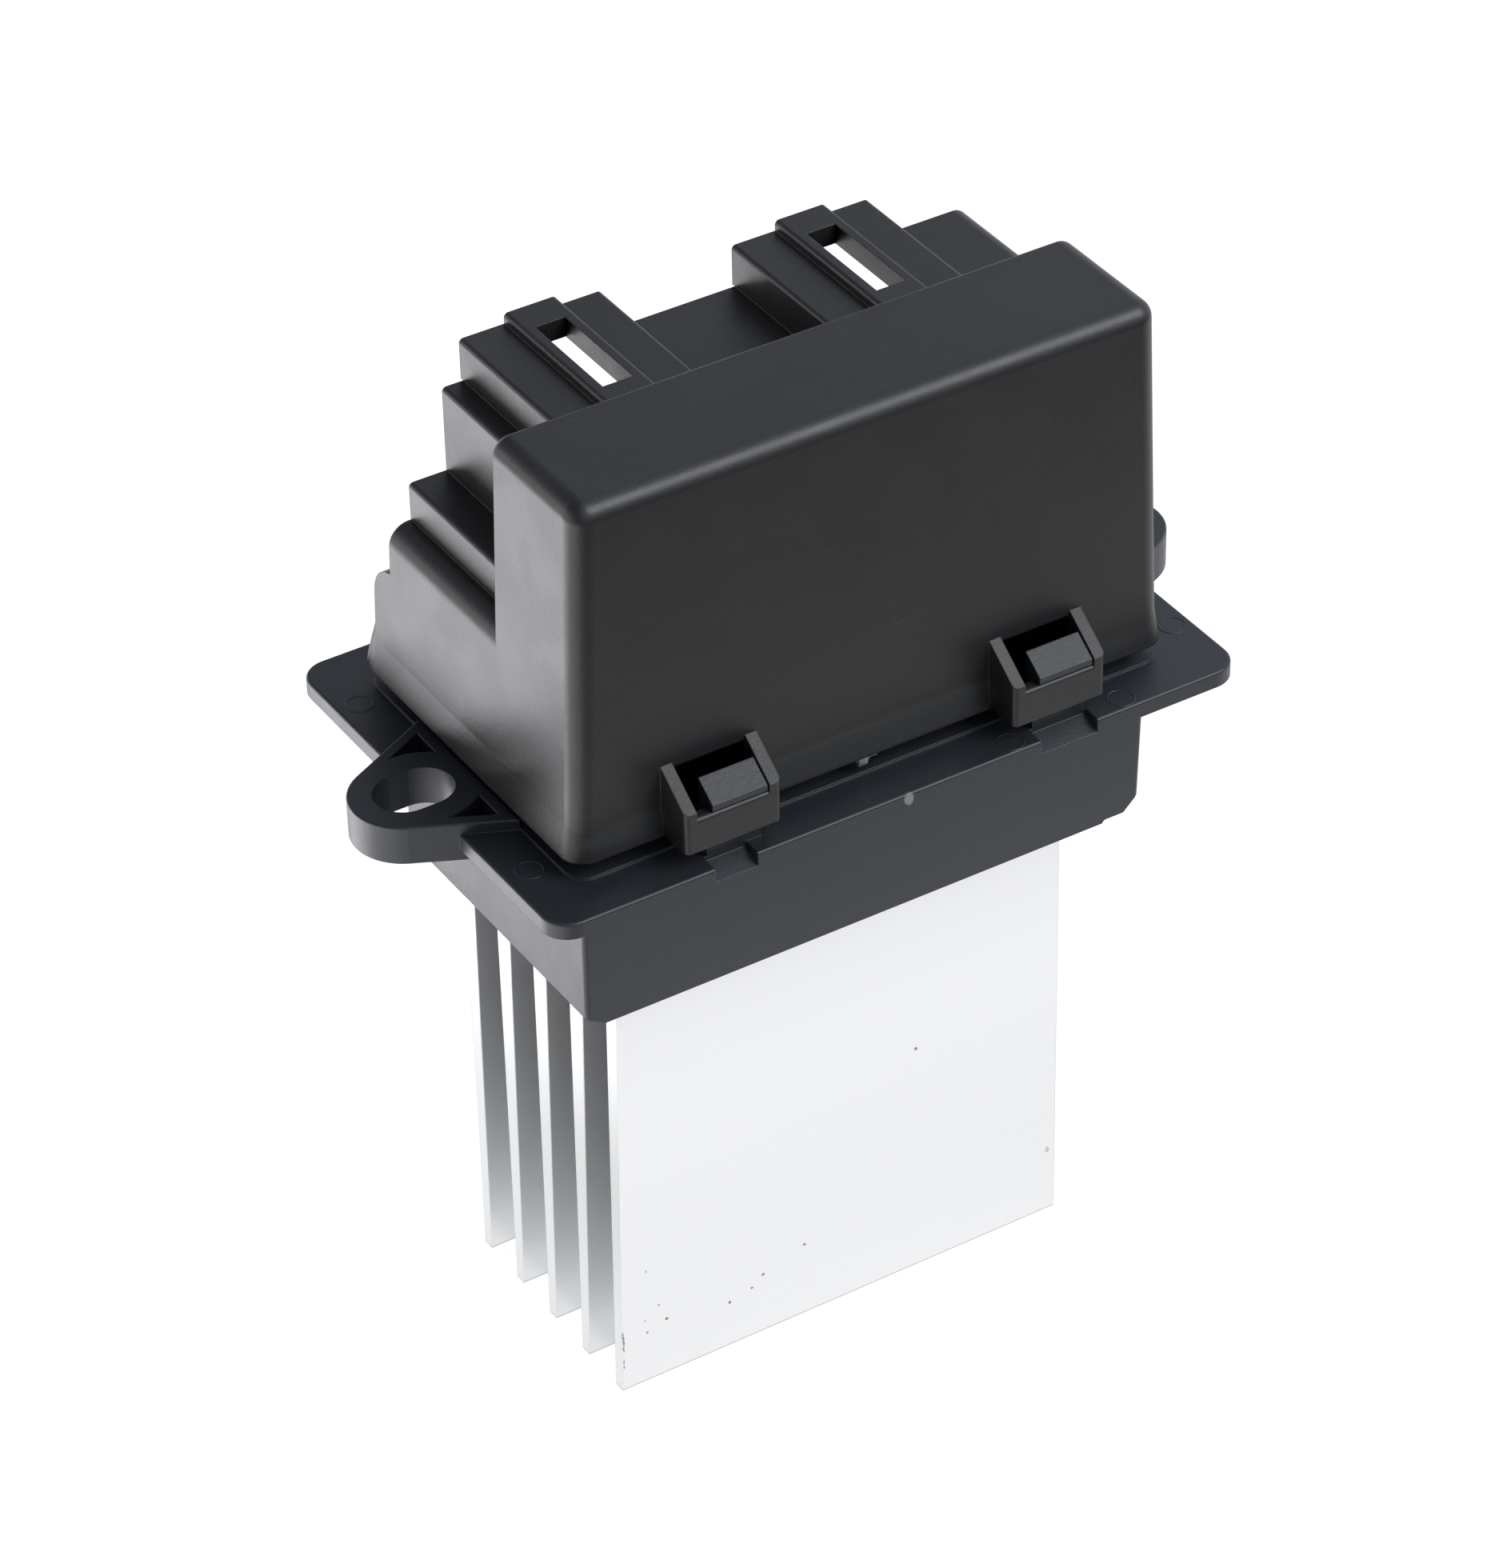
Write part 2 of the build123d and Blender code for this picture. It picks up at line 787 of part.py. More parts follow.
def blade_terminal(middle, width):
    """A blade with a narrowed tip, and its tail bent down inside the cover."""
    tip = slab_back + blade_reach
    level = flange_top + blade_level
    thick = blade_thickness / 2
    blade = block(middle - width / 2, middle + width / 2, tail_front, tip, level - thick, level + thick)
    tip_edges = blade.edges().filter_by(Axis.Z).group_by(Axis.Y)[-1]
    blade = chamfer(tip_edges, blade_tip)
    return blade + block(middle - tail_width / 2, middle + tail_width / 2, tail_front, partition,
                         flange_top + tail_foot, level + thick)


def contact_strip(places):
    """A moulded strip on the board with a slot for each tail."""
    half = tail_width / 2
    foot = flange_top + strip_level
    top = foot + strip_height
    strip = block(places[0][0] - half - strip_margin, places[-1][0] + half + strip_margin,
                  board_back, board_back + strip_thickness, foot, top)
    strip = chamfer(strip.edges().filter_by(Axis.X).group_by(Axis.Z)[-1], strip_edge)
    for middle, _ in places:
        strip -= block(middle - half - blade_fit, middle + half + blade_fit,
                       tail_front - blade_fit, partition + blade_fit, flange_top + tail_foot, top)
    return strip


def electrolytic_capacitor():
    """The round can that lies behind the board, between the contact strips."""
    middle = sum(block_middles) / 2 - strip_margin / 2
    can = Cylinder(can_diameter / 2, can_length)
    can = chamfer(can.edges().filter_by(GeomType.CIRCLE), can_edge)
    lie = Pos(middle, board_back + can_length / 2, flange_top + can_level) * Rot(90, 0, 0)
    return lie * can


def control_chip():
    """The control circuit on the front of the board."""
    level = flange_top + chip_level
    chip = block(sink_middle - chip_length / 2, sink_middle + chip_length / 2,
                 board_front - chip_thickness, board_front, level - chip_height / 2, level + chip_height / 2)
    return chamfer(chip.faces().sort_by(Axis.Y)[0].edges(), chip_thickness / 4)


def current_shunt():
    """A bent metal strip, bridged over the board, that measures the motor current."""
    first, last = shunt_places()
    half = shunt_thickness / 2
    stand = board_front - shunt_stand
    bridge = outline(
        (first - half, board_back),
        (first - half, stand),
        (last + half, stand),
        (last + half, board_back),
        (last - half, board_back),
        (last - half, stand + shunt_thickness),
        (first + half, stand + shunt_thickness),
        (first + half, board_back),
    )
    foot = flange_top + shunt_level - shunt_width / 2
    return Pos(0, 0, foot) * extrude(bridge, shunt_width)


def thermal_fuse():
    """The fuse that lies against the web, on two leads from the board."""
    level = flange_top + fuse_level
    fuse = block(sink_middle - fuse_width / 2, sink_middle + fuse_width / 2,
                 web_back, web_back + fuse_thickness, level - fuse_height / 2, level + fuse_height / 2)
    fuse = chamfer(fuse.edges().filter_by(Axis.Z), 0.5)
    thick = lead_size / 2
    for x in fuse_places():
        fuse += block(x - thick, x + thick, web_back + fuse_thickness / 2, board_back,
                      level - thick, level + thick)
    return fuse


def chip_part(size, number, level):
    """A small block-shaped part soldered to the back of the board."""
    length, height, thickness = size
    x = sum(block_middles) / 2 + (number - 0.5) * chip_part_spacing
    z = flange_top + level
    return block(x - length / 2, x + length / 2, board_back, board_back + thickness,
                 z - height / 2, z + height / 2)


def pieces():
    """Every piece by the name of its node."""
    nodes = {
        "cover": cover(),
        "base_frame": base_frame(),
        "heat_sink": heat_sink(),
        "heat_sink_screws": heat_sink_screws(),
        "circuit_board": circuit_board(),
        "contact_strip_motor": contact_strip(blade_places()[:2]),
        "contact_strip_supply": contact_strip(blade_places()[2:]),
        "electrolytic_capacitor": electrolytic_capacitor(),
        "control_chip": control_chip(),
        "current_shunt": current_shunt(),
        "thermal_fuse": thermal_fuse(),
    }
    for side, middle in zip(("left", "right"), transistor_middles()):
        nodes[f"power_transistor_{side}"] = power_transistor(middle)
        nodes[f"insulating_pad_{side}"] = insulating_pad(middle)
        nodes[f"transistor_clip_{side}"] = transistor_clip(middle)
    blades = ("motor_blade_left", "motor_blade_right", "supply_blade_left", "signal_blade", "supply_blade_right")
    for name, (middle, width) in zip(blades, blade_places()):
        nodes[name] = blade_terminal(middle, width)
    for number in range(2):
        nodes[f"ceramic_capacitor_{number + 1}"] = chip_part(ceramic_size, number, ceramic_level)
        nodes[f"chip_resistor_{number + 1}"] = chip_part(resistor_size, number, resistor_level)
    return nodes


os.makedirs("parts", exist_ok=True)
for name, piece in pieces().items():
    export_step(piece, f"parts/{name}.step")
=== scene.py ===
"""Dresses the blower motor resistor: procedural finishes for every piece, the rings and
burrs that its moulds left, a pale floor, soft studio light and the camera."""

import math

import bpy
from mathutils import Matrix, Vector


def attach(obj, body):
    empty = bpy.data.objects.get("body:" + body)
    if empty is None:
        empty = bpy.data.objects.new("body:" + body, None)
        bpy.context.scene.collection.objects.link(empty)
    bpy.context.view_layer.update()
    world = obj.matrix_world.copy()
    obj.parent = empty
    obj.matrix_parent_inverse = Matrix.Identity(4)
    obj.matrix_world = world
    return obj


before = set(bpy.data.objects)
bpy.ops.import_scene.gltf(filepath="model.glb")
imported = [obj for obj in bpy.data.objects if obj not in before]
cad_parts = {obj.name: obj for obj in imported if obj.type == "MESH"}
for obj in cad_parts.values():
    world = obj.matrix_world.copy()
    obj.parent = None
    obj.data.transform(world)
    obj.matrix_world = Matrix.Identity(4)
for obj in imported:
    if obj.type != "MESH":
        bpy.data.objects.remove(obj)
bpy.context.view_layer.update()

# Blender works in metres; places and sizes on the object are given in millimetres
MM = 0.001
MM_PER_METRE = 1000.0

# The flange's left front top corner in the object's frame
FLANGE_LEFT, FLANGE_FRONT, FLANGE_TOP = -41.5, -26.75, 65.7


def at_flange(x, y, z):
    """A place measured from the flange's left front top corner, in the object's frame."""
    return (x + FLANGE_LEFT, y + FLANGE_FRONT, z + FLANGE_TOP)


def toned(colour, factor):
    """The colour made lighter or darker, and opaque."""
    return tuple(part * factor for part in colour[:3]) + (1,)


# Small helpers for node trees

VALUE, VECTOR = "NodeSocketFloat", "NodeSocketVector"


def add(tree, kind, **settings):
    """A node of the tree with its properties set."""
    node = tree.nodes.new(kind)
    for name, value in settings.items():
        setattr(node, name, value)
    return node


def feed(tree, source, target):
    """Joins an output to an input, or sets the input to a plain value."""
    if isinstance(source, bpy.types.NodeSocket):
        tree.links.new(source, target)
    else:
        target.default_value = source


def calc(tree, operation, first, second=0.0, third=0.0, clamp=False):
    """One step of arithmetic on values."""
    node = add(tree, "ShaderNodeMath", operation=operation, use_clamp=clamp)
    for source, target in zip((first, second, third), node.inputs):
        feed(tree, source, target)
    return node.outputs[0]


def sum_of_shares(tree, first, first_share, second, second_share):
    """Two values added up, each with its share."""
    rest = calc(tree, "MULTIPLY", second, second_share)
    return calc(tree, "MULTIPLY_ADD", first, first_share, rest)


def vector_calc(tree, operation, first, second=(0, 0, 0)):
    """One step of arithmetic on vectors."""
    node = add(tree, "ShaderNodeVectorMath", operation=operation)
    feed(tree, first, node.inputs[0])
    feed(tree, second, node.inputs[1])
    return node.outputs["Value" if operation in {"LENGTH", "DOT_PRODUCT"} else "Vector"]


def scaled(tree, vector, factor):
    """The vector made longer or shorter."""
    node = add(tree, "ShaderNodeVectorMath", operation="SCALE")
    feed(tree, vector, node.inputs[0])
    feed(tree, factor, node.inputs["Scale"])
    return node.outputs["Vector"]


def split(tree, vector):
    """The X, Y and Z of a vector."""
    node = add(tree, "ShaderNodeSeparateXYZ")
    feed(tree, vector, node.inputs[0])
    return node.outputs


def ramp(tree, value, low, high, out_low=0.0, out_high=1.0, smooth=True):
    """Maps a value from one range to another, held at its ends."""
    node = add(tree, "ShaderNodeMapRange", clamp=True)
    node.interpolation_type = "SMOOTHSTEP" if smooth else "LINEAR"
    for source, target in zip((value, low, high, out_low, out_high), node.inputs):
        feed(tree, source, target)
    return node.outputs["Result"]


def blend_colour(tree, share, under, over):
    """Lays one colour over another by a mask."""
    node = add(tree, "ShaderNodeMix", data_type="RGBA")
    feed(tree, share, node.inputs["Factor"])
    colours = [socket for socket in node.inputs if socket.type == "RGBA"]
    feed(tree, under, colours[0])
    feed(tree, over, colours[1])
    return next(socket for socket in node.outputs if socket.type == "RGBA")


def paint(tree, base, mask, strength, tone):
    """Lays a tone over the base colour where a mask says, at a given strength."""
    return blend_colour(tree, calc(tree, "MULTIPLY", mask, strength), base, tone)


def noise(tree, vector, scale, detail=2.0, roughness=0.5, distortion=0.0):
    """Soft noise, as a value from 0 to 1; its scale is the number of its lumps in a metre."""
    node = add(tree, "ShaderNodeTexNoise")
    feed(tree, vector, node.inputs["Vector"])
    feed(tree, scale, node.inputs["Scale"])
    feed(tree, detail, node.inputs["Detail"])
    feed(tree, roughness, node.inputs["Roughness"])
    feed(tree, distortion, node.inputs["Distortion"])
    return node.outputs["Fac"]


def per_metre(tree, size, share=1.0):
    """How many lumps of a size in millimetres fit in a metre, or a share of that number."""
    return calc(tree, "DIVIDE", MM_PER_METRE * share, size)


def stretched(tree, vector, scale, turn=(0, 0, 0)):
    """The coordinates turned and stretched, for marks that run one way."""
    node = add(tree, "ShaderNodeMapping")
    feed(tree, vector, node.inputs["Vector"])
    node.inputs["Rotation"].default_value = turn
    node.inputs["Scale"].default_value = scale
    return node.outputs["Vector"]


def effect(name, inputs, outputs):
    """An empty node group with named inputs and outputs."""
    group = bpy.data.node_groups.new(name, "ShaderNodeTree")
    for label, kind, value in inputs:
        socket = group.interface.new_socket(label, in_out="INPUT", socket_type=kind)
        if value is not None:
            socket.default_value = value
    for label, kind in outputs:
        group.interface.new_socket(label, in_out="OUTPUT", socket_type=kind)
    start = add(group, "NodeGroupInput")
    end = add(group, "NodeGroupOutput")
    return group, start.outputs, end.inputs


def use(tree, group, **values):
    """Places an effect in a material with its own values."""
    node = add(tree, "ShaderNodeGroup", node_tree=group)
    for label, value in values.items():
        feed(tree, value, node.inputs[label])
    return node.outputs


# Effects that several finishes share. A RANGE says between which two readings of a noise
# or a measure its effect comes in, and a SCALE is the number of a noise's lumps in a metre.

COARSE_GRAIN_SHARE = 0.33
PATCH_RANGE = (0.32, 0.68)

BEVEL_SAMPLES = 6
EDGE_RANGE = (0.995, 0.86)
WEAR_SCALE = 420.0
WEAR_START_SHARE, WEAR_END = 0.72, 0.78

SCRATCH_STRETCH = (0.05, 1.0, 1.0)
SCRATCH_TURNS_AND_PATCH_SCALES = [((0.4, 0.3, 0.9), 61.0), ((-0.5, 0.7, -0.35), 83.0)]
SCRATCH_RANGE = (0.66, 0.72)
SCRATCH_PATCH_RANGE = (0.5, 0.68)

UPWARD_RANGE = (0.2, 0.9)
DUST_ON_SIDES = 0.35
SPECK_SCALE, SPECK_RANGE, SPECK_SHARE = 1900.0, (0.6, 0.74), 0.55
CLOUD_SCALE, CLOUD_RANGE, CLOUD_SHARE = 55.0, (0.4, 0.72), 0.4

WOBBLE_SCALE = 2600.0
SPOT_CORE_SHARE = 0.6

LINE_STRETCH = (0.012, 1.0, 1.0)
BROAD_LINE_SHARE = 0.09


def make_moulded_grain():
    """The fine eroded grain of a mould, with soft patches where it is flatter."""
    group, start, end = effect(
        "Moulded grain",
        [("Vector", VECTOR, None), ("Grain", VALUE, 0.22), ("Patch", VALUE, 7.0)],
        [("Height", VALUE), ("Patches", VALUE)],
    )
    place = start["Vector"]
    fine = noise(group, place, per_metre(group, start["Grain"]), detail=2.0, roughness=0.6)
    coarse_scale = per_metre(group, start["Grain"], COARSE_GRAIN_SHARE)
    coarse = noise(group, place, coarse_scale, detail=1.0, roughness=0.5)
    patches = noise(
        group, place, per_metre(group, start["Patch"]), detail=3.0, roughness=0.55, distortion=0.4)
    feed(group, sum_of_shares(group, coarse, 0.5, fine, 0.5), end["Height"])
    feed(group, ramp(group, patches, *PATCH_RANGE), end["Patches"])
    return group


def make_rubbed_highlit_edges():
    """Rounds sharp edges slightly and says where edges are rubbed, which plastic also paints as a
    highlight; the radius is in metres.
    """
    group, start, end = effect(
        "Rubbed and highlit edges",
        [("Vector", VECTOR, None), ("Radius", VALUE, 0.35 * MM), ("Broken", VALUE, 0.5)],
        [("Normal", VECTOR), ("Mask", VALUE)],
    )
    rounded = add(group, "ShaderNodeBevel", samples=BEVEL_SAMPLES)
    feed(group, start["Radius"], rounded.inputs["Radius"])
    flat = add(group, "ShaderNodeNewGeometry")
    likeness = vector_calc(
        group, "DOT_PRODUCT", rounded.outputs["Normal"], flat.outputs["Normal"])
    edge = ramp(group, likeness, *EDGE_RANGE)
    breaks = noise(group, start["Vector"], WEAR_SCALE, detail=4.0, roughness=0.65)
    wear_start = calc(group, "MULTIPLY", start["Broken"], WEAR_START_SHARE)
    breaks = ramp(group, breaks, wear_start, WEAR_END)
    feed(group, rounded.outputs["Normal"], end["Normal"])
    feed(group, calc(group, "MULTIPLY", edge, breaks), end["Mask"])
    return group


def make_fine_scratches():
    """Two sets of faint scratches that cross, broken up into short strokes."""
    group, start, end = effect(
        "Fine scratches",
        [("Vector", VECTOR, None), ("Spacing", VALUE, 1.6), ("Amount", VALUE, 0.3)],
        [("Mask", VALUE)],
    )
    scale = per_metre(group, start["Spacing"])
    strokes = []
    for turn, patch_scale in SCRATCH_TURNS_AND_PATCH_SCALES:
        along = stretched(group, start["Vector"], SCRATCH_STRETCH, turn)
        line = noise(group, along, scale, detail=3.0, roughness=0.7)
        line = ramp(group, line, *SCRATCH_RANGE)
        patch = ramp(group, noise(group, start["Vector"], patch_scale), *SCRATCH_PATCH_RANGE)
        strokes.append(calc(group, "MULTIPLY", line, patch))
    both = calc(group, "MAXIMUM", *strokes)
    feed(group, calc(group, "MULTIPLY", both, start["Amount"]), end["Mask"])
    return group


def make_settled_dust():
    """Pale dust in specks and clouds, thicker on faces that look upwards."""
    group, start, end = effect(
        "Settled dust",
        [("Vector", VECTOR, None), ("Amount", VALUE, 0.2)],
        [("Mask", VALUE)],
    )
    upward = split(group, add(group, "ShaderNodeNewGeometry").outputs["Normal"])["Z"]
    facing = ramp(group, upward, *UPWARD_RANGE, DUST_ON_SIDES, 1.0)
    specks = noise(group, start["Vector"], SPECK_SCALE, detail=2.0, roughness=0.7)
    clouds = noise(group, start["Vector"], CLOUD_SCALE, detail=4.0, roughness=0.6)
    haze = sum_of_shares(
        group, ramp(group, specks, *SPECK_RANGE), SPECK_SHARE,
        ramp(group, clouds, *CLOUD_RANGE), CLOUD_SHARE)
    haze = calc(group, "MULTIPLY", haze, facing)
    feed(group, calc(group, "MULTIPLY", haze, start["Amount"]), end["Mask"])
    return group


def make_spot():
    """A soft-edged spot round a point, in millimetres, for nicks, pits and stains.

    A stretch below 1 draws the spot out that way.
    """
    group, start, end = effect(
        "Spot",
        [("Vector", VECTOR, None), ("Centre", VECTOR, (0, 0, 0)), ("Stretch", VECTOR, (1, 1, 1)),
         ("Radius", VALUE, 0.4), ("Ragged", VALUE, 0.3)],
        [("Mask", VALUE)],
    )
    place = scaled(group, start["Vector"], MM_PER_METRE)
    offset = vector_calc(group, "SUBTRACT", place, start["Centre"])
    offset = vector_calc(group, "MULTIPLY", offset, start["Stretch"])
    wobble = calc(group, "SUBTRACT", noise(group, start["Vector"], WOBBLE_SCALE), 0.5)
    wobble = calc(group, "MULTIPLY", wobble, start["Ragged"])
    distance = calc(group, "ADD", vector_calc(group, "LENGTH", offset), wobble)
    core = calc(group, "MULTIPLY", start["Radius"], SPOT_CORE_SHARE)
    feed(group, ramp(group, distance, core, start["Radius"], 1.0, 0.0), end["Mask"])
    return group


def make_boxed_area():
    """What lies inside a box given by two corners in millimetres, with soft edges."""
    group, start, end = effect(
        "Boxed area",
        [("Vector", VECTOR, None), ("Low", VECTOR, (0, 0, 0)), ("High", VECTOR, (1, 1, 1)),
         ("Fade", VALUE, 0.2)],
        [("Mask", VALUE)],
    )
    place = split(group, scaled(group, start["Vector"], MM_PER_METRE))
    lows, highs = split(group, start["Low"]), split(group, start["High"])
    mask = 1.0
    for axis in "XYZ":
        outer_low = calc(group, "SUBTRACT", lows[axis], start["Fade"])
        outer_high = calc(group, "ADD", highs[axis], start["Fade"])
        above = ramp(group, place[axis], outer_low, lows[axis])
        below = ramp(group, place[axis], highs[axis], outer_high, 1.0, 0.0)
        mask = calc(group, "MULTIPLY", calc(group, "MULTIPLY", mask, above), below)
    feed(group, mask, end["Mask"])
    return group


def make_drawn_lines():
    """Fine lines that an extrusion die leaves along its length, with a broader waviness."""
    group, start, end = effect(
        "Drawn lines",
        [("Vector", VECTOR, None), ("Spacing", VALUE, 0.12)],
        [("Height", VALUE), ("Streaks", VALUE)],
    )
    along = stretched(group, start["Vector"], LINE_STRETCH)
    fine = noise(group, along, per_metre(group, start["Spacing"]), detail=3.0, roughness=0.6)
    broad_scale = per_metre(group, start["Spacing"], BROAD_LINE_SHARE)
    broad = noise(group, along, broad_scale, detail=3.0, roughness=0.6)
    feed(group, sum_of_shares(group, broad, 0.4, fine, 0.6), end["Height"])
    feed(group, broad, end["Streaks"])
    return group


moulded_grain = make_moulded_grain()
rubbed_highlit_edges = make_rubbed_highlit_edges()
fine_scratches = make_fine_scratches()
settled_dust = make_settled_dust()
spot = make_spot()
boxed_area = make_boxed_area()
drawn_lines = make_drawn_lines()


# Marks of this object, each a centre, stretch, radius, tone and strength

PIT = (0.10, 0.10, 0.10, 1)
SCUFF = (0.10, 0.10, 0.098, 1)
PALE_SPOT = (0.20, 0.20, 0.197, 1)
HANDLED = (0.026, 0.0265, 0.026, 1)

# Pits and a short crack in the foremost fin: x, z, stretch along z, radius and strength
FIN_FRONT = 2.4
FIN_MARKS = [
    (12.4, -58.3, 1, 0.22, 0.85), (20.2, -59.8, 1, 0.22, 0.85), (23.0, -59.1, 1, 0.22, 0.85),
    (24.4, -57.9, 1, 0.22, 0.85), (29.6, -56.2, 1, 0.22, 0.85), (43.8, -35.8, 1, 0.22, 0.85),
    (7.08, -59.2, 0.09, 0.14, 0.7), (7.04, -61.8, 0.12, 0.12, 0.6), (6.68, -64.4, 0.2, 0.13, 0.7),
    (10.02, -59.1, 1, 0.17, 0.7), (11.5, -56.0, 1, 0.15, 0.6), (9.78, -57.4, 1, 0.14, 0.6),
    (10.1, -50.7, 1, 0.15, 0.6), (6.95, -58.2, 0.2, 0.12, 0.7), (60.8, -57.4, 0.6, 0.3, 0.4),
]
fin_spots = [
    (at_flange(x, FIN_FRONT, z), (1, 1, stretch), radius, PIT, strength)
    for x, z, stretch, radius, strength in FIN_MARKS
]

# A pale spot on the flange's front edge, and a scuff at the back of the skirt's left face
frame_spots = [
    (at_flange(41.5, 0.0, -0.7), (1, 1, 0.8), 0.7, PALE_SPOT, 0.85),
    (at_flange(3.0, 29.0, -10.2), (1, 0.6, 1.2), 2.0, SCUFF, 0.2),
]

# A pale dusty band along the cover's lower front edge, with a handled patch at its left end
COVER_FRONT = 5.4
cover_spots = [
    (at_flange(40.0, COVER_FRONT, 4.3), (0.055, 1, 1), 2.3, HANDLED, 0.8),
    (at_flange(13.0, COVER_FRONT, 4.6), (0.2, 1, 1), 1.6, HANDLED, 0.5),
]


# Areas of the cover darkened with painted shade, each a low and a high corner, a fade and a
# strength.
# They reach this far to either side of the face that they lie on.

FACE_REACH = 0.05

# The object's cover is open behind the two catches, but this wall is whole; it is painted near
# black there as painted shade
LOOP_MIDDLES = (21.2, 60.45)
OPENING_HALF_WIDTH, OPENING_FOOT, OPENING_TOP = 4.1, 0.0, 9.9
catch_opening_shade = [
    (at_flange(middle - OPENING_HALF_WIDTH, COVER_FRONT - FACE_REACH, OPENING_FOOT),
     at_flange(middle + OPENING_HALF_WIDTH, COVER_FRONT + FACE_REACH, OPENING_TOP), 0.15, 1.0)
    for middle in LOOP_MIDDLES
]

# The windows over the sockets: their right walls get painted shade
WINDOW_RIGHTS = (25.75, 58.0)
WINDOW_FRONT, WINDOW_BACK = 25.6, 38.8
WINDOW_FOOT, WINDOW_TOP = 34.0, 41.9
shaded_walls = [
    (at_flange(right - FACE_REACH, WINDOW_FRONT, WINDOW_FOOT),
     at_flange(right + FACE_REACH, WINDOW_BACK, WINDOW_TOP), 0.06, 0.55)
    for right in WINDOW_RIGHTS
]


# Finishes

# The near black of painted shade, for openings and shaded walls that the geometry lacks
PAINTED_SHADE_BLACK = (0.004, 0.004, 0.005, 1)
DUST_GREY = (0.30, 0.30, 0.30, 1)
GRAIN_DEPTH = 0.03
PATCH_LIGHTER, PATCH_GLOSS = 1.1, 0.015
PLASTIC_EDGES_BROKEN, PLASTIC_EDGE_WEAR_AND_HIGHLIGHT, WORN_GLOSS = 0.55, 0.3, 0.1
PLASTIC_SCRATCHES, DUST_DULLS = 0.35, 0.5
PLASTIC_SPOTS_RAGGED = 0.35
PLASTIC_IOR = 1.5

DRAWN_SPACING = 0.12
METAL_EDGE_RADIUS, METAL_EDGES_BROKEN, METAL_SCRATCHES = 0.2, 0.2, 0.5
METAL_DULLED = 0.95
METAL_SPOTS_RAGGED = 0.3
STREAK_RANGE, STREAK_GLOSS = (0.2, 0.8), 0.1

# The sawn ends of the heat sink are paler towards its foot, where a thin grey line runs round
ACROSS_RANGE = (0.8, 0.95)
SAWN_ALUMINIUM = (0.52, 0.53, 0.525, 1)
SAWN_AT_FOOT = (0.80, 0.81, 0.81, 1)
SAWN_PALER_BELOW = 32.0
FOOT_GREY = (0.45, 0.46, 0.47, 1)
FOOT_LINE_RANGE, FOOT_LINE_STRENGTH = (0.08 * MM, 0.22 * MM), 0.6


def new_finish(name):
    """A material with an empty surface shader, and the place on the piece as coordinates."""
    material = bpy.data.materials.new(name)
    material.use_nodes = True
    tree = material.node_tree
    shader = tree.nodes["Principled BSDF"]
    place = add(tree, "ShaderNodeTexCoord").outputs["Object"]
    return material, tree, shader, place


def dent(tree, height, depth, normal):
    """Turns a height into a surface normal; depth is in millimetres."""
    bump = add(tree, "ShaderNodeBump")
    bump.inputs["Distance"].default_value = depth * MM
    feed(tree, height, bump.inputs["Height"])
    feed(tree, normal, bump.inputs["Normal"])
    return bump.outputs["Normal"]


def with_spots(tree, place, base, spots, ragged):
    """The base colour with spots laid on it."""
    for centre, stretch, radius, tone, strength in spots:
        mark = use(
            tree, spot, Vector=place, Centre=centre, Stretch=stretch, Radius=radius, Ragged=ragged)
        base = paint(tree, base, mark["Mask"], strength, tone)
    return base


def painted_shade_mask(tree, place, shade_areas):
    """A mask of the areas that get painted shade, so that they look open or shaded."""
    mask = 0.0
    for low, high, fade, strength in shade_areas:
        area = use(tree, boxed_area, Vector=place, Low=low, High=high, Fade=fade)["Mask"]
        mask = calc(tree, "MAXIMUM", mask, calc(tree, "MULTIPLY", area, strength))
    return mask


def moulded_plastic(name, colour, worn_and_highlight, rough, grain=0.22, edge=0.16, dust=0.03,
                    spots=(), shade_areas=()):
    """Moulded plastic with grain, rubbed edges that also carry a painted highlight, scratches,
    dust, its own spots and its areas of painted shade.

    The grain and the radius of its edges are in millimetres.
    """
    material, tree, shader, place = new_finish(name)
    skin = use(tree, moulded_grain, Vector=place, Grain=grain)
    edges = use(tree, rubbed_highlit_edges, Vector=place, Radius=edge * MM, Broken=PLASTIC_EDGES_BROKEN)
    marks = use(tree, fine_scratches, Vector=place, Amount=PLASTIC_SCRATCHES)
    powder = use(tree, settled_dust, Vector=place, Amount=dust)
    base = blend_colour(tree, skin["Patches"], colour, toned(colour, PATCH_LIGHTER))
    # Partly wear and partly painted highlight: rubbed edges take the lighter worn tone, which also
    # stands for the light that the edges catch
    base = paint(tree, base, edges["Mask"], PLASTIC_EDGE_WEAR_AND_HIGHLIGHT, worn_and_highlight)
    base = paint(tree, base, marks["Mask"], PLASTIC_SCRATCHES, worn_and_highlight)
    base = blend_colour(tree, powder["Mask"], base, DUST_GREY)
    base = with_spots(tree, place, base, spots, PLASTIC_SPOTS_RAGGED)
    # Painted shade: these areas are painted near black and made metallic, so they show no sheen
    # and look like deep shade
    if shade_areas:
        dark = painted_shade_mask(tree, place, shade_areas)
        base = blend_colour(tree, dark, base, PAINTED_SHADE_BLACK)
        feed(tree, dark, shader.inputs["Metallic"])
    feed(tree, base, shader.inputs["Base Color"])
    shine = ramp(tree, skin["Patches"], 0.0, 1.0, rough - PATCH_GLOSS, rough + PATCH_GLOSS)
    dulled = calc(tree, "MULTIPLY", powder["Mask"], DUST_DULLS)
    polished = calc(tree, "MULTIPLY", edges["Mask"], WORN_GLOSS)
    shine = calc(tree, "ADD", shine, dulled, clamp=True)
    shine = calc(tree, "SUBTRACT", shine, polished, clamp=True)
    feed(tree, shine, shader.inputs["Roughness"])
    surface = dent(tree, skin["Height"], GRAIN_DEPTH, edges["Normal"])
    feed(tree, surface, shader.inputs["Normal"])
    shader.inputs["IOR"].default_value = PLASTIC_IOR
    return material


